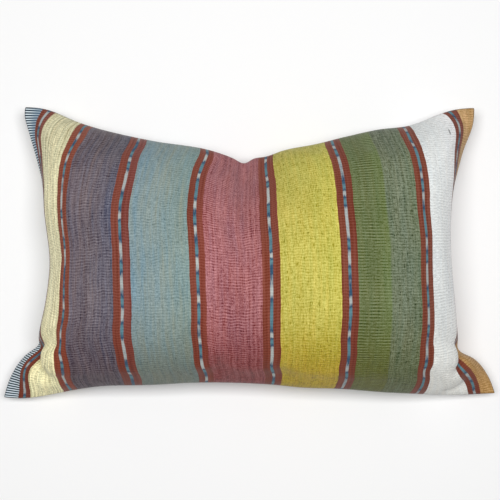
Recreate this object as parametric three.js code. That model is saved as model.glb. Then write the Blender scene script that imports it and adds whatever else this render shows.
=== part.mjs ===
// A filled throw cushion lying on its back, face up, modelled in millimetres with +Z up.
// +X runs along its long side and +Y towards its top edge, the one with the dent in the middle.
// The origin is the middle of the footprint, on the surface that the cushion lies on.
//
// The cover is a front and a back panel of one striped cloth, sewn together round the edge, turned
// right side out and filled. It is one solid: both panels are worked out over the same grid and
// meet at the seam. The seam draws in between the corners, the four corners stand out as thin
// ears, the front panel bellies out over the seam, and the back panel is flat where it rests.

import * as THREE from "three";

// Heights of the fill, measured from the seam: the front crowns freely, and the back would bulge
// this far if nothing held it up.
const FRONT_CROWN = 80;
const BACK_CROWN = 88;

// How square the crown is. A higher power keeps it level further out before it rounds over.
const CROWN_POWER_LEFT = 4.4;
const CROWN_POWER_RIGHT = 7;
const CROWN_POWER_UP = 2.5;
const CROWN_POWER_DOWN = 3.1;
// The power that rounds the sides, and what is added to it in the corners to thin the ears.
const SIDE_ROUNDING = 0.5;
const EAR_THINNING = 0.5;

// The belly is widest at the first share of the crown's height, and over at the second. It pushes
// straight out along a side, and turns between two sides only this close to a corner.
const BELLY_WIDEST = 0.26;
const BELLY_END = 0.8;
const BELLY_TURN_POWER = 8;

// How far in the seam's own wander shows, as a share of the cushion's width and of its height.
const WANDER_ACROSS = 0.24;
const WANDER_UP = 0.42;

// Grid cells across and up each panel, and how strongly they crowd towards the seam.
const CELLS_ACROSS = 62;
const CELLS_UP = 34;
const CROWDING = 0.84;

// The seam, side by side: x and y from the middle of the cushion, z above the surface it lies on,
// and tuck, how far the front panel stands out past the seam there.
const LEFT_SEAM = [
  { x: -308, y: -182, z: 24, tuck: 0 },
  { x: -301, y: -161, z: 26, tuck: 0 },
  { x: -276, y: -126, z: 33, tuck: 0 },
  { x: -263, y: -117, z: 38, tuck: 1 },
  { x: -251, y: -105, z: 45, tuck: 11 },
  { x: -241, y: -58, z: 52, tuck: 9 },
  { x: -239, y: -16, z: 53, tuck: 7 },
  { x: -244, y: 52, z: 52, tuck: 9 },
  { x: -257, y: 98, z: 47, tuck: 1 },
  { x: -273, y: 149, z: 41, tuck: 0 },
  { x: -279, y: 167, z: 39, tuck: 0 },
  { x: -279, y: 180, z: 38, tuck: 0 },
];
const RIGHT_SEAM = [
  { x: 306, y: -177, z: 24, tuck: 0 },
  { x: 298, y: -157, z: 26, tuck: 0 },
  { x: 276, y: -131, z: 34, tuck: 0 },
  { x: 259, y: -123, z: 38, tuck: 1 },
  { x: 247, y: -110, z: 45, tuck: 9 },
  { x: 238, y: -65, z: 52, tuck: 11 },
  { x: 237, y: 22, z: 53, tuck: 8 },
  { x: 239, y: 62, z: 51, tuck: 7 },
  { x: 248, y: 82, z: 48, tuck: 2 },
  { x: 262, y: 125, z: 43, tuck: 0 },
  { x: 276, y: 161, z: 39, tuck: 0 },
  { x: 278, y: 179, z: 38, tuck: 0 },
];
const TOP_SEAM = [
  { x: -279, y: 180, z: 38, tuck: 0 },
  { x: -257, y: 178, z: 39, tuck: 0 },
  { x: -207, y: 158, z: 45, tuck: 3 },
  { x: -121, y: 133, z: 51, tuck: 6 },
  { x: -36, y: 118, z: 52, tuck: 5 },
  { x: -16, y: 115, z: 51, tuck: 3 },
  { x: -7, y: 104, z: 50, tuck: 1 },
  { x: 3, y: 113, z: 51, tuck: 3 },
  { x: 20, y: 115, z: 52, tuck: 4 },
  { x: 37, y: 120, z: 52, tuck: 6 },
  { x: 122, y: 139, z: 51, tuck: 7 },
  { x: 190, y: 153, z: 46, tuck: 4 },
  { x: 257, y: 177, z: 40, tuck: 0 },
  { x: 278, y: 179, z: 38, tuck: 0 },
];
const BOTTOM_SEAM = [
  { x: -308, y: -182, z: 24, tuck: 0 },
  { x: -286, y: -183, z: 25, tuck: 0 },
  { x: -231, y: -173, z: 34, tuck: 3 },
  { x: -182, y: -160, z: 43, tuck: 7 },
  { x: -121, y: -156, z: 47, tuck: 9 },
  { x: -30, y: -152, z: 48, tuck: 9 },
  { x: 25, y: -153, z: 48, tuck: 9 },
  { x: 62, y: -159, z: 48, tuck: 9 },
  { x: 171, y: -167, z: 43, tuck: 8 },
  { x: 225, y: -176, z: 35, tuck: 3 },
  { x: 306, y: -177, z: 24, tuck: 0 },
];

// Dents and lumps in the filling. Each row sinks the front by deep at its middle, or raises it where
// deep is negative. It fades out over long in its own direction and over wide across it, and turn
// is that direction in degrees from +X.
const DENTS = [
  // The chop in the top edge: a valley that runs down the face from the notch.
  { x: -7, y: 112, deep: 34, long: 46, wide: 34, turn: 90 },
  { x: -10, y: 92, deep: 9, long: 60, wide: 95, turn: 90 },
  // Folds that run from the lower ears into the face.
  { x: -262, y: -158, deep: 9, long: 26, wide: 7, turn: 10 },
  { x: -243, y: -128, deep: 8, long: 34, wide: 10, turn: 62 },
  { x: 250, y: -161, deep: 13, long: 32, wide: 6, turn: 33 },
  { x: 236, y: -136, deep: 7, long: 34, wide: 9, turn: 150 },
  // Folds that run from the upper ears.
  { x: -232, y: 140, deep: 5, long: 32, wide: 9, turn: 128 },
  { x: 234, y: 138, deep: 5, long: 32, wide: 9, turn: 55 },
  // Slow hills and hollows of the filling.
  { x: -150, y: 40, deep: -4, long: 70, wide: 60, turn: 0 },
  { x: -70, y: -60, deep: 3, long: 60, wide: 50, turn: 30 },
  { x: 60, y: 20, deep: -3, long: 80, wide: 60, turn: 60 },
  { x: 160, y: -50, deep: -4, long: 80, wide: 55, turn: 0 },
  { x: 130, y: 70, deep: 3, long: 60, wide: 45, turn: 0 },
];
// The back takes this share of each dent. No dent reaches the seam: it grows from there, and is
// whole from this share of the crown's height.
const BACK_SHARE_OF_DENTS = 0.45;
const DENT_WHOLE_AT = 0.62;

const COLUMNS = ["x", "y", "z", "tuck"];

// The share of the way along a side that each row of its table lies at, by straight steps.
function stepsOf(rows) {
  const steps = [0];
  for (let k = 1; k < rows.length; k++) {
    const step = Math.hypot(rows[k].x - rows[k - 1].x, rows[k].y - rows[k - 1].y);
    steps.push(steps[k - 1] + step);
  }
  const whole = steps[steps.length - 1];
  return steps.map((step) => step / whole);
}

// The slope of one column at row k, from the rows on either side of it.
function slopeAt(rows, steps, k, column) {
  const rise = (a, b) => (rows[b][column] - rows[a][column]) / (steps[b] - steps[a]);
  if (k === 0) return rise(0, 1);
  if (k === rows.length - 1) return rise(k - 1, k);
  const before = steps[k] - steps[k - 1];
  const after = steps[k + 1] - steps[k];
  return (rise(k - 1, k) * after + rise(k, k + 1) * before) / (before + after);
}

// A side as a function of the share of the way along it: a smooth curve through its rows.
function side(rows) {
  const steps = stepsOf(rows);
  return (share) => {
    let k = 0;
    while (k < rows.length - 2 && steps[k + 1] < share) {
      k++;
    }
    const gap = steps[k + 1] - steps[k];
    const t = (share - steps[k]) / gap;
    const point = {};
    for (const column of COLUMNS) {
      const from = rows[k][column];
      const to = rows[k + 1][column];
      const leave = slopeAt(rows, steps, k, column) * gap;
      const arrive = slopeAt(rows, steps, k + 1, column) * gap;
      point[column] =
        (2 * t ** 3 - 3 * t ** 2 + 1) * from +
        (t ** 3 - 2 * t ** 2 + t) * leave +
        (3 * t ** 2 - 2 * t ** 3) * to +
        (t ** 3 - t ** 2) * arrive;
    }
    return point;
  };
}

// The point at a share of the way from a to b.
function mix(a, b, share) {
  const point = {};
  for (const column of COLUMNS) {
    point[column] = a[column] * (1 - share) + b[column] * share;
  }
  return point;
}

// The same side with its wander left out: one even bow between its two corners.
function bowOf(curve) {
  const middle = mix(curve(0), curve(1), 0.5);
  const reach = curve(0.5);
  return (share) => {
    const point = mix(curve(0), curve(1), share);
    for (const column of COLUMNS) {
      point[column] += 4 * share * (1 - share) * (reach[column] - middle[column]);
    }
    return point;
  };
}

const left = side(LEFT_SEAM);
const right = side(RIGHT_SEAM);
const top = side(TOP_SEAM);
const bottom = side(BOTTOM_SEAM);
const leftBow = bowOf(left);
const rightBow = bowOf(right);
const topBow = bowOf(top);
const bottomBow = bowOf(bottom);

// How much of a side's wander is left at a share in from it.
const fadeIn = (share, reach) => Math.max(0, 1 - share / reach) ** 2;

// The flat net that both panels are raised from: the four bowed sides blended across and up, with
// each side's wander added near it.
function net(u, v) {
  const corners = mix(mix(left(0), right(0), u), mix(left(1), right(1), u), v);
  const across = mix(leftBow(v), rightBow(v), u);
  const up = mix(bottomBow(u), topBow(u), v);
  const wander = [
    { at: left(v), bow: leftBow(v), share: fadeIn(u, WANDER_ACROSS) },
    { at: right(v), bow: rightBow(v), share: fadeIn(1 - u, WANDER_ACROSS) },
    { at: bottom(u), bow: bottomBow(u), share: fadeIn(v, WANDER_UP) },
    { at: top(u), bow: topBow(u), share: fadeIn(1 - v, WANDER_UP) },
  ];
  const point = {};
  for (const column of COLUMNS) {
    point[column] = across[column] + up[column] - corners[column];
    for (const { at, bow, share } of wander) {
      point[column] += (at[column] - bow[column]) * share;
    }
  }
  return point;
}

// The crown's height at a place on the net, from 0 on the seam to 1 in the middle.
function crown(u, v) {
  const x = Math.abs(2 * u - 1);
  const y = Math.abs(2 * v - 1);
  const across = 1 - x ** (u > 0.5 ? CROWN_POWER_RIGHT : CROWN_POWER_LEFT);
  const up = 1 - y ** (v > 0.5 ? CROWN_POWER_UP : CROWN_POWER_DOWN);
  const power = SIDE_ROUNDING + EAR_THINNING * x ** 2 * y ** 2;
  return Math.max(0, across * up) ** power;
}

// How deep all the dents together are at a place, where the crown has this height.
function dentAt(x, y, height) {
  let depth = 0;
  for (const dent of DENTS) {
    const turn = THREE.MathUtils.degToRad(dent.turn);
    const along = (x - dent.x) * Math.cos(turn) + (y - dent.y) * Math.sin(turn);
    const across = (y - dent.y) * Math.cos(turn) - (x - dent.x) * Math.sin(turn);
    depth += dent.deep * Math.exp(-((along / dent.long) ** 2) - (across / dent.wide) ** 2);
  }
  return depth * Math.min(1, height / DENT_WHOLE_AT);
}

// How far out the belly stands at a share of the crown's height: from 0 on the seam to 1, and back.
function bellyAt(height) {
  if (height < BELLY_WIDEST) return Math.sin((Math.PI / 2) * (height / BELLY_WIDEST));
  const past = Math.min(1, (height - BELLY_WIDEST) / (BELLY_END - BELLY_WIDEST));
  return Math.cos((Math.PI / 2) * past) ** 2;
}

// A point of the front panel: the net, bellied out past the seam and crowned, less the dents.
function frontPoint(u, v) {
  const at = net(u, v);
  const height = crown(u, v);
  const belly = bellyAt(height) * at.tuck;
  const outX = Math.sign(u - 0.5) * Math.abs(2 * u - 1) ** BELLY_TURN_POWER;
  const outY = Math.sign(v - 0.5) * Math.abs(2 * v - 1) ** BELLY_TURN_POWER;
  const out = Math.hypot(outX, outY) || 1;
  return [
    at.x + (belly * outX) / out,
    at.y + (belly * outY) / out,
    at.z + FRONT_CROWN * height - dentAt(at.x, at.y, height),
  ];
}

// A point of the back panel: the net, bulged downwards and pressed flat on the surface it lies on.
function backPoint(u, v) {
  const at = net(u, v);
  const height = crown(u, v);
  const dent = BACK_SHARE_OF_DENTS * dentAt(at.x, at.y, height);
  return [at.x, at.y, Math.max(0, at.z - BACK_CROWN * height + dent)];
}

// Evenly spaced shares crowded towards both ends, where the panels round over into the seam.
function shares(cells) {
  return Array.from({ length: cells + 1 }, (_, i) => {
    const even = i / cells;
    const crowded = (1 - Math.cos(Math.PI * even)) / 2;
    return even + (crowded - even) * CROWDING;
  });
}

// Both panels over one grid, sewn at the seam: the front's faces turn up and the back's down.
function filledCushion() {
  const across = shares(CELLS_ACROSS);
  const up = shares(CELLS_UP);
  const points = [];
  const numberOf = { front: [], back: [] };
  for (let j = 0; j <= CELLS_UP; j++) {
    numberOf.front.push([]);
    numberOf.back.push([]);
    for (let i = 0; i <= CELLS_ACROSS; i++) {
      numberOf.front[j].push(points.length);
      points.push(frontPoint(across[i], up[j]));
      const onSeam = i === 0 || j === 0 || i === CELLS_ACROSS || j === CELLS_UP;
      if (onSeam) {
        numberOf.back[j].push(numberOf.front[j][i]);
        continue;
      }
      numberOf.back[j].push(points.length);
      points.push(backPoint(across[i], up[j]));
    }
  }
  const faces = [];
  for (let j = 0; j < CELLS_UP; j++) {
    for (let i = 0; i < CELLS_ACROSS; i++) {
      for (const [name, number] of Object.entries(numberOf)) {
        const [a, b, c, d] = [number[j][i], number[j][i + 1], number[j + 1][i + 1], number[j + 1][i]];
        // The cut across each cell leans towards the nearer corner, so no ear folds over itself.
        const leansUp = (i < CELLS_ACROSS / 2) === (j < CELLS_UP / 2);
        const pair = leansUp ? [[a, b, c], [a, c, d]] : [[a, b, d], [b, c, d]];
        for (const face of pair) {
          faces.push(...(name === "front" ? face : face.reverse()));
        }
      }
    }
  }
  const geometry = new THREE.BufferGeometry();
  geometry.setAttribute("position", new THREE.Float32BufferAttribute(points.flat(), 3));
  geometry.setIndex(faces);
  geometry.computeVertexNormals();
  geometry.computeBoundingBox();
  const middle = geometry.boundingBox.getCenter(new THREE.Vector3());
  geometry.translate(-middle.x, -middle.y, 0);
  return geometry;
}

const stripedCloth = new THREE.MeshStandardMaterial({
  color: new THREE.Color("#968975"),
  roughness: 0.9,
  metalness: 0,
});

const cushion = new THREE.Mesh(filledCushion(), stripedCloth);
cushion.name = "cushion";

const part = new THREE.Group();
part.add(cushion);

export default part;
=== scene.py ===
import bpy
import numpy as np
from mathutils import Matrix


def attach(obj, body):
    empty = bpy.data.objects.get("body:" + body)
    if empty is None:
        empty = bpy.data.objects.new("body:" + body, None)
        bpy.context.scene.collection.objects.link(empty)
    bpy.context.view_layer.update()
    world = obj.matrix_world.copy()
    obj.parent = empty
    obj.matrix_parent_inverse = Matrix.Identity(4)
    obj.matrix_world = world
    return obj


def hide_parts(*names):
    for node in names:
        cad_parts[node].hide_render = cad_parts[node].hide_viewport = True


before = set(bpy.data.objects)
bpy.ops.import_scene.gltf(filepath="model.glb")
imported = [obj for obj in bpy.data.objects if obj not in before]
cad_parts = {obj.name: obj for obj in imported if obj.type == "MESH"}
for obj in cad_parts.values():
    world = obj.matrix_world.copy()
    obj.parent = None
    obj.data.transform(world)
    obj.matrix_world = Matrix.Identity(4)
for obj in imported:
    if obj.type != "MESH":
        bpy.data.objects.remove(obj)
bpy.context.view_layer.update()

# The seam
# Two panels of one cotton cloth are laid face to face, sewn all the way round and turned right side
# out. When the cover is filled, the seam draws in between the corners and leaves four thin ears.

MM = 0.001
PANEL_WIDE = 610
PANEL_HIGH = 406

# Each side of the seam, in mm: x and y from the middle of the cushion, z above the surface that it
# lies on, and tuck, how far the front panel stands out past the seam there.
LEFT_SEAM = [
    (-308, -182, 24, 0), (-301, -161, 26, 0), (-276, -126, 33, 0), (-263, -117, 38, 1),
    (-251, -105, 45, 11), (-240.5, -58, 52, 9), (-237, -16, 53, 7), (-243.5, 52, 52, 9),
    (-257, 98, 47, 1), (-273, 149, 41, 0), (-279, 167, 39, 0), (-279, 180, 38, 0),
]
RIGHT_SEAM = [
    (306, -177, 24, 0), (298, -157, 26, 0), (276, -131, 34, 0), (259, -123, 38, 1),
    (247, -110, 45, 9), (238, -65, 52, 11), (235, 22, 53, 8), (239, 62, 51, 7),
    (248, 82, 48, 2), (262, 125, 43, 0), (276, 161, 39, 0), (278, 179, 38, 0),
]
TOP_SEAM = [
    (-279, 180, 38, 0), (-257, 178, 39, 0), (-207, 158, 45, 3), (-121, 133, 51, 6),
    (-37, 117.5, 52, 5), (-19, 112.5, 51, 3), (-8, 107.5, 50, 1.5), (4, 113, 51, 3),
    (19, 114, 52, 4), (38, 119, 52, 6), (80, 127, 52, 7), (122, 138.5, 51, 7),
    (158, 148, 49, 6), (190, 153.5, 46, 4), (257, 177, 40, 0), (278, 179, 38, 0),
]
BOTTOM_SEAM = [
    (-308, -182, 24, 0), (-286, -183, 25, 0), (-231, -173, 34, 3), (-182, -160, 43, 7),
    (-121, -154.5, 47, 9), (-72, -151, 48, 9), (-30, -150.5, 48, 9), (0, -151.5, 48, 9),
    (25, -153, 48, 9), (62, -157, 48, 9), (110, -159.5, 46, 9), (171, -167, 43, 8),
    (225, -176, 35, 3), (306, -177, 24, 0),
]
# The middle of the footprint is the origin, and the tables' own middle is this far off it.
OFF_CENTRE = (1.0, 1.5)


def side(rows):
    """A side of the seam as a function of the share of the way along it: a cubic Hermite curve
    through its rows, spaced by the straight steps between them. The slope at a row is the mean of
    the rises before and after it, each weighted by the length of the other."""
    rows = np.array(rows, float)
    step = np.hypot(*np.diff(rows[:, :2], axis=0).T)
    at = np.concatenate([[0], np.cumsum(step)]) / step.sum()
    gap = np.diff(at)[:, None]
    rise = np.diff(rows, axis=0) / gap
    between = (rise[:-1] * gap[1:] + rise[1:] * gap[:-1]) / (gap[:-1] + gap[1:])
    slope = np.vstack([rise[:1], between, rise[-1:]])

    def curve(share):
        share = np.asarray(share, float)
        k = np.clip(np.searchsorted(at, share) - 1, 0, len(gap) - 1)
        t = ((share - at[k]) / gap[k, 0])[..., None]
        leave, arrive = slope[k] * gap[k], slope[k + 1] * gap[k]
        return (
            (2 * t**3 - 3 * t**2 + 1) * rows[k]
            + (t**3 - 2 * t**2 + t) * leave
            + (3 * t**2 - 2 * t**3) * rows[k + 1]
            + (t**3 - t**2) * arrive
        )

    return curve


def bow_of(curve):
    """The side with its wander left out: its two ends mixed, plus 4 s (1 - s) times how far its
    middle stands off the straight line between them."""
    start, end = curve(0.0), curve(1.0)
    reach = curve(0.5) - (start + end) / 2

    def bow(share):
        s = np.asarray(share, float)[..., None]
        return start * (1 - s) + end * s + 4 * s * (1 - s) * reach

    return bow


left, right, top, bottom = map(side, (LEFT_SEAM, RIGHT_SEAM, TOP_SEAM, BOTTOM_SEAM))

# The filled cover
# The front panel crowns over the loose filling and bellies out past the seam. The back panel is
# pressed flat where it rests. The fill is chopped down in the middle of the top edge.

# How far in from a side its wander still shows, as a share of the panel.
WANDER_ACROSS = 0.24
WANDER_UP = 0.42
# The two crowns, in mm above and below the net between the seams, and how square the crown is in
# plan towards each side.
FRONT_CROWN = 80
BACK_CROWN = 88
CROWN_POWER = {"left": 4.4, "right": 7, "up": 2.5, "down": 3.1}
# The crown leaves the seam as a root of this power, which is higher, and so slower, at the ears.
SIDE_ROUNDING = 0.5
EAR_THINNING = 0.5
# The belly: the shares of the crown's height at which it is widest and at which it ends, and how
# late it turns from one side to the next at a corner.
BELLY_WIDEST = 0.26
BELLY_END = 0.8
BELLY_TURN_POWER = 8
TINY = 1e-9

# Dents in the filling, and lumps, which are less than 0 deep: x, y, how deep, how long and how wide
# it fades, and how far its length is turned from x in degrees. The back takes a share of them, and
# they are whole from a share of the crown's height.
DENTS = [
    (-7, 112, 34, 46, 34, 90),
    (-10, 92, 9, 60, 95, 90),
    (-247, -150, 13, 20, 6, 0),
    (-232, 140, 5, 32, 9, 128),
    (234, 138, 5, 32, 9, 55),
    (-150, 40, -4, 70, 60, 0),
    (-70, -60, 3, 60, 50, 30),
    (60, 20, -3, 80, 60, 60),
    (160, -50, -4, 80, 55, 0),
    (130, 70, 3, 60, 45, 0),
]
BACK_SHARE_OF_DENTS = 0.45
DENT_WHOLE_AT = 0.62

# Laps, where the filled part hangs over the two lower ears, and one crease in the lower right ear:
# x and y of the fold, which way the cloth hangs over it in degrees, how far it hangs out, how far
# the ear drops beneath it, and how long the fold is.
LAPS = [
    (-245, -127, 180, 14, 16, 18),
    (244, -122, 0, 12, 16, 14),
    (249, -161, -64, 8, 9, 15),
]
# How far in from the fold the cloth hangs out most, how wide the drop is, and the share of the
# crown's height from which a lap is whole.
LAP_ROUNDING = 10
LAP_DROP_WIDE = 14
LAP_WHOLE_AT = 0.25

# The filling takes up more cloth in some places than in others, so the threads stray from even
# spacing, in mm to the right: one row for each height up the panel, which comes first in the row,
# and then one column for each place across it.
STRAY_ACROSS = [0, 27, 85, 162, 247, 329, 415, 507, 581, 610]
STRAY = [
    (0, 0, 0, 3, 4, 5, 1, -3, -2.5, 1.5, 0),
    (25, 0, 0, 4.5, 4, 5, 1, -3, -2, -1.5, 0),
    (45, 0, -8.5, -8, 3, 5, 2.5, -1, 0, -7, 0),
    (65, 0, -6, 3, 6, 6.5, 4, 4, 3.5, -12, 0),
    (82, 0, -5, 1, 2.5, 3.5, 3, 3.5, 2, -3, 0),
    (100, 0, -5, -9, -3, 0, 1.5, 4, 5, 7, 0),
    (115, 0, -6.5, -17, -7, -2, 1, 3, 9, 10, 0),
    (140, 0, -7, -11.5, -7.5, -3.5, -1, 3.5, 8.5, 8, 0),
    (185, 0, -7, -16, -11.5, -7, -1.5, 3, 8.5, 10, 0),
    (230, 0, -7, -12, -10.5, -6.5, 1, 6, 13, 11, 0),
    (280, 0, -9, -17, -11.5, -9, 1, 7, 11, 11, 0),
    (305, 0, -12, -17, -11.5, -10.5, 0, 6.5, 10.5, 8.5, 0),
    (330, 0, -12, -16.5, -11, -11, 0, 5.5, 9.5, 4, 0),
    (350, 0, -10.5, -12, -12, -8.5, 0, 5, 9.5, 5, 0),
    (370, 0, -13, -5, -6.5, -4, 0, 1, 6, 6, 0),
    (385, 0, -3, -1.5, -4.5, -2, 0, 0.5, 4, 3, 0),
    (396, 0, 4, 2, -4, -2, 0, -0.5, 2, -2, 0),
    (406, 0, 10, 7, 0, 0, 1, -3, 0, -10, 0),
]


def bows_off(curve, share):
    """How far a side's own wander takes it off its bow."""
    return curve(share) - bow_of(curve)(share)


def net_at(u, v):
    """The flat net that both panels are raised from: the bowed sides blended across and up (their
    sum less the corners' own blend), plus each side's wander off its bow, fading in from it as
    (1 - share / reach) squared."""
    a, b = u[..., None], v[..., None]
    corners = (left(0.0) * (1 - a) + right(0.0) * a) * (1 - b)
    corners = corners + (left(1.0) * (1 - a) + right(1.0) * a) * b
    net = bow_of(left)(v) * (1 - a) + bow_of(right)(v) * a
    net = net + bow_of(bottom)(u) * (1 - b) + bow_of(top)(u) * b - corners
    net = net + bows_off(left, v) * np.clip(1 - a / WANDER_ACROSS, 0, 1) ** 2
    net = net + bows_off(right, v) * np.clip(1 - (1 - a) / WANDER_ACROSS, 0, 1) ** 2
    net = net + bows_off(bottom, u) * np.clip(1 - b / WANDER_UP, 0, 1) ** 2
    return net + bows_off(top, u) * np.clip(1 - (1 - b) / WANDER_UP, 0, 1) ** 2


def crown_at(u, v):
    """The crown's height, 0 on the seam and 1 in the middle: (1 - |2u - 1|^p)(1 - |2v - 1|^q), to a
    power of a half that grows towards the corners and thins the ears."""
    x, y = np.abs(2 * u - 1), np.abs(2 * v - 1)
    p = np.where(u > 0.5, CROWN_POWER["right"], CROWN_POWER["left"])
    q = np.where(v > 0.5, CROWN_POWER["up"], CROWN_POWER["down"])
    power = SIDE_ROUNDING + EAR_THINNING * x**2 * y**2
    return np.clip((1 - x**p) * (1 - y**q), 0, None) ** power


def dents_at(x, y, height):
    """The summed depth of the dents, each deep times exp(-(along/long)^2 - (across/wide)^2), grown
    in from the seam so that none reaches it."""
    depth = np.zeros_like(x)
    for at_x, at_y, deep, long, wide, turn in DENTS:
        cos, sin = np.cos(np.radians(turn)), np.sin(np.radians(turn))
        along = (x - at_x) * cos + (y - at_y) * sin
        across = (y - at_y) * cos - (x - at_x) * sin
        depth += deep * np.exp(-((along / long) ** 2) - (across / wide) ** 2)
    return depth * np.clip(height / DENT_WHOLE_AT, 0, 1)


def belly_at(height):
    """How far out the belly stands at a crown height: a quarter sine up to its widest, then a
    squared cosine back to nothing."""
    past = np.clip((height - BELLY_WIDEST) / (BELLY_END - BELLY_WIDEST), 0, 1)
    rising = np.sin(np.pi / 2 * np.clip(height / BELLY_WIDEST, 0, 1))
    return np.where(height < BELLY_WIDEST, rising, np.cos(np.pi / 2 * past) ** 2)


def front_at(u, v):
    """The front panel: the net, bellied out past the seam and crowned, less the dents."""
    net, height = net_at(u, v), crown_at(u, v)
    belly = belly_at(height) * net[..., 3]
    out_x = np.sign(u - 0.5) * np.abs(2 * u - 1) ** BELLY_TURN_POWER
    out_y = np.sign(v - 0.5) * np.abs(2 * v - 1) ** BELLY_TURN_POWER
    out = np.maximum(np.hypot(out_x, out_y), TINY)
    rise = FRONT_CROWN * height - dents_at(net[..., 0], net[..., 1], height)
    x = net[..., 0] + belly * out_x / out + OFF_CENTRE[0]
    y = net[..., 1] + belly * out_y / out + OFF_CENTRE[1]
    return np.stack([x, y, net[..., 2] + rise], axis=-1)


def lapped_at(u, v):
    """The front panel with its laps. With s the way inwards from the fold over the rounding, the
    cloth hangs out by s exp(1 - s) of its reach, and the ear drops in a bell whose middle is a
    third of its width outside the fold. Both fade along the fold as exp(-(along/long)^4), and
    neither moves the seam."""
    panel = front_at(u, v)
    x, y = panel[..., 0], panel[..., 1]
    move = np.zeros_like(panel)
    for at_x, at_y, turn, reach, deep, long in LAPS:
        cos, sin = np.cos(np.radians(turn)), np.sin(np.radians(turn))
        inward = (at_x - x) * cos + (at_y - y) * sin
        along = (y - at_y) * cos - (x - at_x) * sin
        fade = np.exp(-((along / long) ** 4))
        s = np.clip(inward / LAP_ROUNDING, 0, None)
        move[..., :2] += (reach * s * np.exp(1 - s) * fade)[..., None] * (cos, sin)
        bell = np.exp(-(((inward + LAP_DROP_WIDE / 3) / LAP_DROP_WIDE) ** 2))
        move[..., 2] -= deep * bell * fade
    return panel + move * np.clip(crown_at(u, v) / LAP_WHOLE_AT, 0, 1)[..., None]


def back_at(u, v):
    """The back panel: the net, bulged downwards and pressed flat on the surface it lies on."""
    net, height = net_at(u, v), crown_at(u, v)
    fall = BACK_CROWN * height - BACK_SHARE_OF_DENTS * dents_at(net[..., 0], net[..., 1], height)
    x, y = net[..., 0] + OFF_CENTRE[0], net[..., 1] + OFF_CENTRE[1]
    return np.stack([x, y, np.maximum(0, net[..., 2] - fall)], axis=-1)


def through(places, values, at):
    """Smooth curves through columns of values at the places, cubic Hermite ones whose slopes are
    those of the straight lines between the places on either side."""
    places, values = np.array(places, float), np.array(values, float)
    slope = np.gradient(values, places, axis=0)
    k = np.clip(np.searchsorted(places, at) - 1, 0, len(places) - 2)
    gap = (places[k + 1] - places[k])[:, None]
    t = (at - places[k])[:, None] / gap
    start = (1 + 2 * t) * (1 - t) ** 2 * values[k] + t * (1 - t) ** 2 * gap * slope[k]
    return start + t**2 * (3 - 2 * t) * values[k + 1] + t**2 * (t - 1) * gap * slope[k + 1]


def run_along(panel, axis):
    """How far along its row or column each point of a panel lies, measured over the surface."""
    step = np.linalg.norm(np.diff(panel, axis=axis), axis=-1)
    before = [(0, 0), (0, 0)]
    before[axis] = (1, 0)
    return np.pad(np.cumsum(step, axis=axis), before)


# The mesh follows threads of the flat cloth, this many spaces across and up the panel.
SPACES_ACROSS = 112
SPACES_UP = 76
across = np.linspace(0, 1, SPACES_ACROSS + 1)
up = np.linspace(0, 1, SPACES_UP + 1)
stray = through(STRAY_ACROSS, np.array(STRAY)[:, 1:].T, across * PANEL_WIDE).T
stray = through([row[0] for row in STRAY], stray, up * PANEL_HIGH)
# The cloth below the dent slides up into it: how far at most, how far across, and how wide.
DRAWN_UP, DRAWN_AT, DRAWN_WIDE = 20, 330, 120


def drawn_up(u, v):
    """How much further up the threads across lie than even spacing, as a share: a bell across the
    panel, times v^2 (1 - v) up it, which is made 1 at its highest."""
    bell = np.exp(-(((u * PANEL_WIDE - DRAWN_AT) / DRAWN_WIDE) ** 2))
    return DRAWN_UP / PANEL_HIGH * bell * 27 / 4 * v**2 * (1 - v)


def slid(share, panel, wanted, axis):
    """The net shares of a panel's points, moved along their columns (axis 0) or rows (axis 1) until
    each point has the wanted share of the surface's run before it."""
    run = run_along(panel, axis)
    if axis == 0:
        share, run, wanted = share.T, run.T, wanted.T
    moved = np.array([np.interp(*line) for line in zip(wanted, run / run[:, -1:], share)])
    return moved.T if axis == 0 else moved


LAYING_ROUNDS = 10
EVENINGS = 8


def lay_threads(panel_at, folded_at):
    """The net shares u, v at which the threads of the flat cloth lie on a panel. They start even,
    and slide along their rows and columns by turns until each is as far along, over the surface,
    as it is in the flat cloth with its stray. Then the rows take up the folds, and all is evened
    out from row to row and column to column, as a quarter, a half and a quarter."""
    wanted = across[None, :] + stray / PANEL_WIDE
    wanted_up = up[:, None] + drawn_up(across[None, :], up[:, None])
    u, v = np.meshgrid(across, up)
    for _ in range(LAYING_ROUNDS):
        u = slid(u, panel_at(u, v), wanted, 1)
        v = slid(v, panel_at(u, v), wanted_up, 0)
    u = slid(u, folded_at(u, v), wanted, 1)
    for _ in range(EVENINGS):
        u[1:-1] = (u[:-2] + 2 * u[1:-1] + u[2:]) / 4
        v[:, 1:-1] = (v[:, :-2] + 2 * v[:, 1:-1] + v[:, 2:]) / 4
    return u, v


front_lay, back_lay = lay_threads(front_at, lapped_at), lay_threads(back_at, back_at)
front, back = lapped_at(*front_lay), back_at(*back_lay)
threads = np.stack(np.meshgrid(across * PANEL_WIDE, up * PANEL_HIGH), axis=-1)

# One closed skin: the back shares the front's points along the seam.
rows, columns = front.shape[:2]
front_number = np.arange(rows * columns).reshape(rows, columns)
back_number = front_number.copy()
inner = (slice(1, -1), slice(1, -1))
back_number[inner] = rows * columns + np.arange((rows - 2) * (columns - 2)).reshape(rows - 2, -1)
points = np.vstack([front.reshape(-1, 3), back[inner].reshape(-1, 3)]) * MM
flat = np.vstack([threads.reshape(-1, 2), threads[inner].reshape(-1, 2)]) * MM


def quads(number, flip):
    """The cells of a grid of point numbers as quads, wound the other way where flip is true."""
    ring = [number[:-1, :-1], number[:-1, 1:], number[1:, 1:], number[1:, :-1]]
    ring = [corner.ravel() for corner in (ring[::-1] if flip else ring)]
    return np.stack(ring, axis=-1)


faces = np.vstack([quads(front_number, False), quads(back_number, True)])
mesh = bpy.data.meshes.new("cushion_cover")
mesh.from_pydata(points.tolist(), [], faces.tolist())

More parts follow.
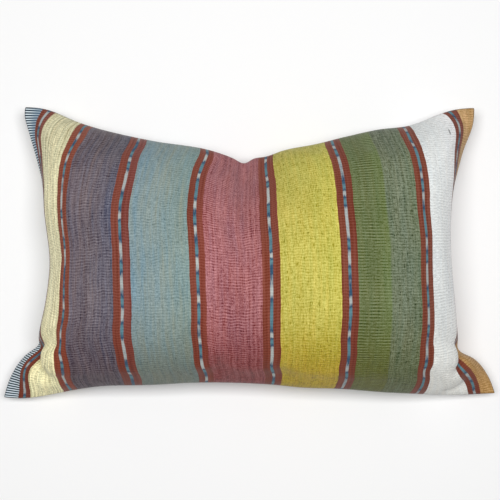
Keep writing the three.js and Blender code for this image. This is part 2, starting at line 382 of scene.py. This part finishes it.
# The map gives each corner's place in the flat cloth, in metres. The back panel's heights are made
# negative, so that its unevenness is its own.
on_cloth = mesh.uv_layers.new(name="cloth")
corner_flat = flat[faces].copy()
corner_flat[len(faces) // 2 :, :, 1] *= -1
on_cloth.data.foreach_set("uv", corner_flat.ravel())
cover = bpy.data.objects.new("cushion_cover", mesh)
bpy.context.collection.objects.link(cover)

# The filling swells the cover. The seam is held where it is, the cloth has a little to spare, and
# no point moves further than the reach. The turned edge beside the seam rises and falls but keeps
# the outline, up to where the crown's height lets it go. Among the settings, the shrink below 0 is
# the cloth to spare, and the mass group is the points that are held.
COTTON = {
    "quality": 8,
    "mass": 0.3,
    "tension_stiffness": 15,
    "compression_stiffness": 15,
    "shear_stiffness": 5,
    "bending_stiffness": 0.5,
    "shrink_min": -0.02,
    "use_pressure": True,
    "uniform_pressure_force": 4.0,
    "vertex_group_mass": "seam",
}
SWELL_FRAMES = 24
SWELL_REACH = 7 * MM
EDGE_HELD, EDGE_FREE = 0.3, 0.7
seam = cover.vertex_groups.new(name="seam")
on_seam = np.ones((rows, columns), bool)
on_seam[inner] = False
seam.add(front_number[on_seam].tolist(), 1.0, "REPLACE")
fill = cover.modifiers.new("fill", "CLOTH")
for name, value in COTTON.items():
    setattr(fill.settings, name, value)
fill.settings.effector_weights.gravity = 0
fill.point_cache.frame_start = 1
fill.point_cache.frame_end = SWELL_FRAMES
for step in range(1, SWELL_FRAMES + 1):
    bpy.context.scene.frame_set(step)
swollen = np.empty(len(points) * 3)
filled = cover.evaluated_get(bpy.context.evaluated_depsgraph_get())
filled.data.vertices.foreach_get("co", swollen)
move = swollen.reshape(-1, 3) - points
far = np.linalg.norm(move, axis=1, keepdims=True)
move *= np.minimum(1, SWELL_REACH / np.maximum(far, TINY))
crown = np.concatenate([crown_at(*front_lay).ravel(), crown_at(*back_lay)[inner].ravel()])
freed = np.clip((crown - EDGE_HELD) / (EDGE_FREE - EDGE_HELD), 0, 1)
move[:, :2] *= (freed**2 * (3 - 2 * freed))[:, None]
bpy.context.scene.frame_set(1)
cover.modifiers.remove(fill)
cover.vertex_groups.clear()
points = points + move
points[:, 2] = np.maximum(points[:, 2], 0)
mesh.vertices.foreach_set("co", points.ravel())
mesh.polygons.foreach_set("use_smooth", np.ones(len(faces), bool))
mesh.update()
smooth = cover.modifiers.new("smooth", "SUBSURF")
smooth.levels = smooth.render_levels = 1

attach(cover, "root")
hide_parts("cushion")

# The striped cloth
# Handwoven cotton, ribbed across its stripes. The warp is dyed in broad stripes, and the narrow red
# bands between them each hold a line of resist-dyed threads, blue with soft white dashes.


class Wire:
    """A socket of the material's nodes. Arithmetic on wires adds Math nodes."""

    tree = None

    def __init__(self, socket):
        self.socket = socket

    @classmethod
    def node(cls, kind, settings, sockets, output=0):
        """Adds a node: its settings first, then its sockets' values or links."""
        made = cls.tree.nodes.new(kind)
        for name, value in settings.items():
            if name == "stops":
                ramp = made.color_ramp
                while len(ramp.elements) < len(value):
                    ramp.elements.new(1.0)
                for stop, (place, colour) in zip(ramp.elements, value):
                    stop.position = place
                    stop.color = colour
            elif name == "interpolation":
                made.color_ramp.interpolation = value
            else:
                setattr(made, name, value)
        for name, value in sockets.items():
            if isinstance(value, Wire):
                cls.tree.links.new(value.socket, made.inputs[name])
            else:
                made.inputs[name].default_value = value
        return cls(made.outputs[output]) if output is not None else None

    @classmethod
    def maths(cls, operation, *values):
        """A Math node on wires and numbers."""
        return cls.node("ShaderNodeMath", {"operation": operation}, dict(enumerate(values)))

    def __add__(self, other):
        return self.maths("ADD", self, other)

    __radd__ = __add__

    def __sub__(self, other):
        return self.maths("SUBTRACT", self, other)

    def __rsub__(self, other):
        return self.maths("SUBTRACT", other, self)

    def __mul__(self, other):
        return self.maths("MULTIPLY", self, other)

    __rmul__ = __mul__

    def __truediv__(self, other):
        return self.maths("DIVIDE", self, other)

    def __lt__(self, other):
        return self.maths("LESS_THAN", self, other)

    def __gt__(self, other):
        return self.maths("GREATER_THAN", self, other)

    def __abs__(self):
        return self.maths("ABSOLUTE", self)


def dyed(code):
    """A colour written as screen values, #rrggbb, turned into the renderer's linear ones."""
    screen = np.array([int(code[k : k + 2], 16) for k in (1, 3, 5)]) / 255
    linear = np.where(screen > 0.04045, ((screen + 0.055) / 1.055) ** 2.4, screen / 12.92)
    return (*linear.tolist(), 1.0)


# A dye's screen colour is what the lit cloth shows. The light adds this much to it, so the dye
# itself is that much darker.
LIT = 1.2

cloth = bpy.data.materials.new("striped_handwoven_cotton")
cloth.use_nodes = True
Wire.tree = cloth.node_tree
Wire.tree.nodes.clear()


def noise(x, y, detail=0.0):
    """Smooth noise from 0 to 1 over the plane. Its callers divide x and y by the size in mm of what
    they draw. A number that they add only takes them to a part of the plane of their own."""
    where = Wire.node("ShaderNodeCombineXYZ", {}, {"X": x, "Y": y})
    return Wire.node(
        "ShaderNodeTexNoise",
        {"noise_dimensions": "2D"},
        {"Vector": where, "Scale": 1.0, "Detail": detail},
    )


def sine(turns):
    """A sine wave after that many turns."""
    return Wire.maths("SINE", turns * (2 * np.pi))


def eased(value, low, high, start=0.0, end=1.0):
    """A smooth step from start to end, as value goes from low to high."""
    return Wire.node(
        "ShaderNodeMapRange",
        {"interpolation_type": "SMOOTHSTEP"},
        {"Value": value, "From Min": low, "From Max": high, "To Min": start, "To Max": end},
    )


def mixed(factor, a, b):
    """Two colours mixed."""
    return Wire.node("ShaderNodeMix", {"data_type": "RGBA"}, {0: factor, 6: a, 7: b}, output=2)


def times(colour, factor):
    """A colour times a number, or times another colour."""
    return Wire.node("ShaderNodeVectorMath", {"operation": "MULTIPLY"}, {0: colour, 1: factor})


# In mm, x runs across the panel from its left edge, and y up it from its foot. The height is y
# without the sign that marks the back panel.
uv = Wire.node("ShaderNodeUVMap", {"uv_map": "cloth"}, {})
parts = Wire.node("ShaderNodeSeparateXYZ", {}, {0: uv}).socket.node
x = Wire(parts.outputs["X"]) * (1 / MM)
y = Wire(parts.outputs["Y"]) * (1 / MM)
height = abs(y)

# Ground stripes, left to right. First the colour at the left edge, in the middle, at the right edge
# and at the foot of the panel, where painted shade makes it warmer and deeper. Then how strong the
# ribs' painted light and shade, the specks and the dark slubs are, and how much warmer or cooler
# single threads run. Last, how loosely the ribs run, how strong the single warp threads and the
# long streaks are, and how much light the painted shade leaves at the head of the panel.
STRIPES = [
    ("#78899a", "#78899a", "#78899a", "#78899a", 0.050, 0.15, 0.00, 0.10, 0.2, 0.10, 0.15, 1.00),
    ("#f0e9bf", "#fbf4c8", "#fbf4c6", "#fbf3c0", 0.050, 0.44, 0.15, 0.10, 0.4, 0.60, 0.95, 0.73),
    ("#736770", "#74696f", "#646372", "#5d4f58", 0.085, 0.26, 0.30, 0.28, 0.5, 0.36, 0.40, 0.82),
    ("#8399a0", "#8a9b99", "#889c96", "#768177", 0.050, 0.27, 0.30, 0.34, 0.6, 0.18, 0.18, 0.97),
    ("#b07073", "#a86c70", "#a86a6c", "#8f4141", 0.110, 0.34, 0.40, 0.20, 0.4, 0.30, 0.45, 0.90),
    ("#cabf5d", "#cbc15d", "#cec65d", "#c0a419", 0.050, 0.30, 0.60, 0.16, 0.5, 0.28, 0.22, 0.87),
    ("#6a744b", "#6a744c", "#6d7b4c", "#656925", 0.125, 0.24, 0.20, 0.14, 0.1, 0.10, 0.22, 1.00),
    ("#727c63", "#757f68", "#768266", "#646d47", 0.075, 0.38, 0.50, 0.16, 0.3, 0.30, 0.35, 0.86),
    # The white lightens towards its right edge, where the cushion's side slopes away: painted
    # light.
    ("#f2f6f5", "#fcfffe", "#ffffff", "#f2f2ec", 0.060, 0.28, 0.10, 0.05, 0.1, 0.10, 0.14, 0.86),
    ("#c39e6e", "#c6a070", "#bf9662", "#bd935a", 0.080, 0.35, 0.20, 0.16, 0.3, 0.30, 0.35, 1.00),
]
# The heights between which the painted shade at the foot fades out and at the head fades in.
FOOT_SHADE_FULL_BELOW, FOOT_SHADE_NONE_ABOVE = 50, 165
HEAD_NONE_BELOW, HEAD_FULL_ABOVE = 290, 375
# The red bands: where the middle lies across the panel, width, the left and the right red, how far
# along its line the dashes start, and how pale the dashes are.
BANDS = [
    (27, 15, "#7e4436", "#80483c", 4, 0.85),
    (84.3, 18, "#8f4933", "#8b4835", 21, 0.95),
    (162, 20.8, "#804132", "#7f433a", 9, 0.85),
    (247.3, 17.4, "#814130", "#874234", 30, 1.0),
    (328.8, 20, "#834130", "#824130", 14, 1.0),
    (415.3, 18.6, "#804230", "#7c3d2d", 26, 0.85),
    (507.1, 18.2, "#80412e", "#7f4230", 2, 0.8),
    (581, 16, "#7e4436", "#80483c", 18, 0.85),
]

# Each ground stripe runs from the middle of one red band to the middle of the next, and has its
# edge colours about where it comes out from under the band. The two greens share the gap between
# the sixth band and the seventh.
GREENS_MEET = 461.5
UNDER_BAND, AT_BARE_JOIN = 8, 0.5
bare_joins = (0, GREENS_MEET, PANEL_WIDE)
joins = sorted([*bare_joins, *(band[0] for band in BANDS)])
ground_stops, foot_shade_stops, weave_stops, thread_stops = [], [], [], []
for start, end, (low, mid, high, foot, *strengths) in zip(joins[:-1], joins[1:], STRIPES):
    first = start + (AT_BARE_JOIN if start in bare_joins else UNDER_BAND)
    last = end - (AT_BARE_JOIN if end in bare_joins else UNDER_BAND)
    for place, colour in ((first, low), ((first + last) / 2, mid), (last, high)):
        ground_stops.append((place / PANEL_WIDE, dyed(colour)))
    foot_shade_stops.append((start / PANEL_WIDE, dyed(foot)))
    weave_stops.append((start / PANEL_WIDE, strengths[:4]))
    thread_stops.append((start / PANEL_WIDE, strengths[4:]))

# The threads wobble, and every stripe and band with them.
WOBBLE = 1.2
wobble = (noise(x / 9, y / 14, 2.0) - 0.5) * WOBBLE
thread_x = x + wobble


def across_cloth(stops, interpolation="CONSTANT"):
    """A colour that changes across the cloth, at stops given as shares of its width."""
    settings = {"stops": stops, "interpolation": interpolation}
    return Wire.node("ShaderNodeValToRGB", settings, {"Fac": thread_x / PANEL_WIDE})


def by_stripe(stops):
    """Four strengths that change from stripe to stripe, the fourth held as the ramp's alpha."""
    ramp = across_cloth(stops)
    parts = Wire.node("ShaderNodeSeparateColor", {}, {0: ramp}).socket.node
    return [Wire(socket) for socket in parts.outputs] + [Wire(ramp.socket.node.outputs["Alpha"])]


# Painted shade darkens and warms the stripes towards the foot, and dims them towards the head.
painted_foot_shade = eased(height, FOOT_SHADE_FULL_BELOW, FOOT_SHADE_NONE_ABOVE, 1.0, 0.0)
painted_head_shade = eased(height, HEAD_NONE_BELOW, HEAD_FULL_ABOVE)
ground = mixed(painted_foot_shade, across_cloth(ground_stops, "LINEAR"), across_cloth(foot_shade_stops))
rib_shade_depth, speck_depth, slub_depth, tone_depth = by_stripe(weave_stops)
looseness, thread_depth, streak_depth, head_light = by_stripe(thread_stops)

# The weave: ribs of two picks, painted as light and shade in the colour as well as raised in the
# relief, crossed by single warp threads that are lighter or darker, long streaks where a thread
# took more or less dye, and dark slubs where it is thick. The ribs and the single threads stand out
# most in some patches, and the specks between them.
RIB = 3.4
THREAD = 1.25
NEAR_DRIFT, FAR_DRIFT = 1.6, 1.2
near_drift = (noise(x / 8, y / 30) - 0.5) * looseness * NEAR_DRIFT
drift = near_drift + noise(x / 160, y / 70) * FAR_DRIFT
ribs = sine(y / RIB + drift)
patch = eased(noise(x / 15, y / 22, 1.0), 0.3, 0.7)
hatch = noise(x / 1.4 + 20, y / 10)
speck = noise(x / 0.9, y / 2.0, 1.0) - 0.5
pick = noise(x / 6 + 31, y / 1.1) - 0.5
single = noise(x / 0.9 + 60, y / 16, 1.0) - 0.5
streak = noise(x / 2.4 + 40, y / 110, 1.0) - 0.5
slub = eased(noise(x / 0.7 + 80, y / 7), 0.64, 0.76)
slow = noise(x / 45 + 11, y / 45 + 5, 1.0) - 0.5
rib_shown = patch * 1.3 + hatch * 2.2 - 0.75
speck_shown = 1.9 - patch * 0.8
thread_shown = patch * 0.8 + 0.7
grain = ribs * rib_shade_depth * rib_shown
grain = grain + (speck + pick * 0.7) * speck_depth * speck_shown
grain = grain + single * thread_depth * thread_shown + streak * streak_depth
grain = grain - slub * slub_depth * 0.45 + slow * 0.12

DARKEST = (0.01, 0.01, 0.01)


# The share added as grey carries the ribs' painted light and shade with the rest of the grain.
def grained(colour, grain, grey_share=0.20):
    """A colour made lighter or darker by the grain, and a share of the grain added as grey."""
    sockets = {0: colour, 1: grain + 1, 2: grain * grey_share}
    lit = Wire.node("ShaderNodeVectorMath", {"operation": "MULTIPLY_ADD"}, sockets)
    return Wire.node("ShaderNodeVectorMath", {"operation": "MAXIMUM"}, {0: lit, 1: DARKEST})


# The dye runs warmer in some threads and cooler in others, and the stripes are darker at the head,
# where shade is painted.
tone = (noise(x / 4.5 + 90, y / 75, 1.0) - 0.5 + slow * 0.25) * tone_depth
tint = Wire.node("ShaderNodeCombineXYZ", {}, {"X": tone + 1, "Y": 1.0, "Z": 1 - tone})
ground = times(times(ground, tint), painted_head_shade * (head_light - 1.0) + 1.0)
cloth_colour = grained(ground, grain)

# The blue end stripe is barred navy and white across its threads. Towards the head the bars calm
# down to two closer blues, but not beside the seam.
BARS_END = 22
CALM_UP, CALM_IN = (290, 370), (6, 17)
bars = eased(sine(y / RIB + drift * 0.3), -0.3, 0.7)
calm = eased(height, *CALM_UP) * eased(thread_x, *CALM_IN)
bar_dark = mixed(calm, dyed("#06263a"), dyed("#466279"))
bar_pale = mixed(calm, dyed("#e6f4fa"), dyed("#a9bac6"))
cloth_colour = mixed(thread_x < BARS_END, cloth_colour, mixed(bars, bar_dark, bar_pale))

# The red bands, which painted shade deepens at the foot, and the resist-dyed line in each. The
# dashes' ends are soft and ragged, because each thread of the line took the dye a little further
# or less far. The blue is palest midway between two dashes.
RED_SHADE_AT_FOOT = {"X": 0.08, "Y": 0.38, "Z": 0.60}
DASH_PERIOD = 41.0
DASH_WANDER, DASH_RAGGED = 52, 9
LINE_HALF, LINE_RAGGED = 1.8, 0.9
SOFT_WITHIN, SOFT_BEYOND = 0.55, 0.35
PALE_BLUE, DEEP_BLUE, DASH_WHITE = map(dyed, ("#5d8793", "#2d4f6b", "#b9c0bd"))
# The reds and the dashed lines take the ribs' painted light and shade too.
red_grain = ribs * 0.095 + speck * 0.32 + streak * 0.5
line_grain = ribs * 0.06 + speck * 0.3
ragged = noise(x / 1.1 + 7, y / 9, 1.0) - 0.5
kept = {channel: 1 - painted_foot_shade * lost for channel, lost in RED_SHADE_AT_FOOT.items()}
red_left_by_foot_shade = Wire.node("ShaderNodeCombineXYZ", {}, kept)
for middle, wide, left_red, right_red, offset, pale in BANDS:
    red = grained(mixed(thread_x > middle, dyed(left_red), dyed(right_red)), red_grain, 0.08)
    cloth_colour = mixed(abs(thread_x - middle) < wide / 2, cloth_colour, times(red, red_left_by_foot_shade))
    wander = noise(y / 37 + middle, x / 500 + middle, 1.0) * DASH_WANDER + ragged * DASH_RAGGED
    wave = sine((y + offset + wander) / DASH_PERIOD)
    white = eased(wave, -0.05, 1.0)
    blue = mixed(eased(wave, -1.0, 0.0), PALE_BLUE, DEEP_BLUE)
    line = grained(mixed(white * pale, blue, DASH_WHITE), line_grain, 0.05)
    reach = LINE_HALF - white * 0.1 + ragged * LINE_RAGGED
    off_line = abs(thread_x - middle - wobble * 0.5)
    in_line = eased(off_line, reach - SOFT_WITHIN, reach + SOFT_BEYOND, 1.0, 0.0)
    cloth_colour = mixed(in_line, cloth_colour, line)

# One dark slub stands out by the top right corner: where its middle is and how it leans, and then,
# across it and along it, how far from its middle it starts to fade and is gone.
SLUB_X, SLUB_Y, SLUB_LEAN = 563, 368, 0.23
SLUB_ACROSS, SLUB_ALONG = (0.4, 1.6), (2.5, 5.5)
slub_off = abs(x - SLUB_X + (y - SLUB_Y) * SLUB_LEAN)
slub_here = eased(slub_off, *SLUB_ACROSS, 1.0, 0.0) * eased(abs(y - SLUB_Y), *SLUB_ALONG, 1.0, 0.0)
cloth_colour = mixed(slub_here * 0.75, cloth_colour, dyed("#4b4f4e"))

# The cloth is darker in the seam itself, partly soil and partly painted shade, and the light's
# share comes off here.
SOIL_AND_SHADE_WITHIN, NO_SOIL_OR_SHADE_BEYOND = 0.8, 3.2
from_side = Wire.maths("MINIMUM", x, PANEL_WIDE - x)
from_end = Wire.maths("MINIMUM", height, PANEL_HIGH - height)
from_seam = Wire.maths("MINIMUM", from_side, from_end)
seam_light = eased(from_seam, SOIL_AND_SHADE_WITHIN, NO_SOIL_OR_SHADE_BEYOND, 0.5, 1.0)
cloth_colour = mixed(seam_light / LIT, dyed("#000000"), cloth_colour)

# Relief of the weave, in mm.
picks = sine(y / (RIB / 2) + drift * 2)
ends = sine(x / THREAD)
relief = ribs * 0.10 + picks * 0.04 + ends * 0.03 + speck * 0.25 + slub * slub_depth * 0.2
bump = Wire.node("ShaderNodeBump", {}, {"Strength": 0.6, "Distance": MM, "Height": relief})
surface = Wire.node(
    "ShaderNodeBsdfPrincipled",
    {},
    {
        "Base Color": cloth_colour,
        "Roughness": 0.92 - ribs * 0.03,
        "Normal": bump,
        "Specular IOR Level": 0.25,
        "Sheen Weight": 0.12,
        "Sheen Roughness": 0.5,
    },
)
Wire.node("ShaderNodeOutputMaterial", {}, {"Surface": surface}, output=None)
mesh.materials.append(cloth)

# The table
# A plain pale top that the cushion lies on, this many metres from its middle to each side.
FLOOR = 6.0
floor_mesh = bpy.data.meshes.new("floor")
corners = [(-FLOOR, -FLOOR, 0), (FLOOR, -FLOOR, 0), (FLOOR, FLOOR, 0), (-FLOOR, FLOOR, 0)]
floor_mesh.from_pydata(corners, [], [(0, 1, 2, 3)])
floor = bpy.data.objects.new("floor", floor_mesh)
bpy.context.collection.objects.link(floor)
paint = bpy.data.materials.new("pale_floor")
paint.use_nodes = True
paint_inputs = paint.node_tree.nodes["Principled BSDF"].inputs
paint_inputs["Base Color"].default_value = (0.88, 0.88, 0.88, 1)
paint_inputs["Roughness"].default_value = 0.9
paint_inputs["Specular IOR Level"].default_value = 0.1
floor_mesh.materials.append(paint)

# The studio
# A dim pale room, and one large soft box above the cushion, a little past its top edge, that faces
# its middle.
world = bpy.data.worlds.new("pale_room")
world.use_nodes = True
world_inputs = world.node_tree.nodes["Background"].inputs
world_inputs["Color"].default_value = (1, 1, 1, 1)
world_inputs["Strength"].default_value = 0.12
bpy.context.scene.world = world

SOFT_BOX_PAST, SOFT_BOX_UP = 0.2, 2.3
light = bpy.data.lights.new("soft_box", "AREA")
light.shape = "RECTANGLE"
light.size = 2.0
light.size_y = 0.8
light.energy = 60
soft_box = bpy.data.objects.new("soft_box", light)
soft_box.location = (0, SOFT_BOX_PAST, SOFT_BOX_UP)
soft_box.rotation_euler = (-np.arctan2(SOFT_BOX_PAST, SOFT_BOX_UP), 0, 0)
bpy.context.collection.objects.link(soft_box)

# The camera looks straight down at the face, this far above the seam, and the picture takes in this
# width of the seam's plane. It stands a little off the middle, to match the photo.
CAMERA_OVER_SEAM = 1.5
SEAM_LEVEL = 0.05
PICTURE_WIDE = 0.610
CAMERA_OFF_X, CAMERA_OFF_Y = 0.0007, 0.0038
camera = bpy.data.cameras.new("camera")
camera.sensor_width = 36
camera.lens = camera.sensor_width * CAMERA_OVER_SEAM / PICTURE_WIDE
viewer = bpy.data.objects.new("camera", camera)
viewer.location = (CAMERA_OFF_X, CAMERA_OFF_Y, CAMERA_OVER_SEAM + SEAM_LEVEL)
bpy.context.collection.objects.link(viewer)
bpy.context.scene.camera = viewer
bpy.context.scene.view_settings.view_transform = "Standard"
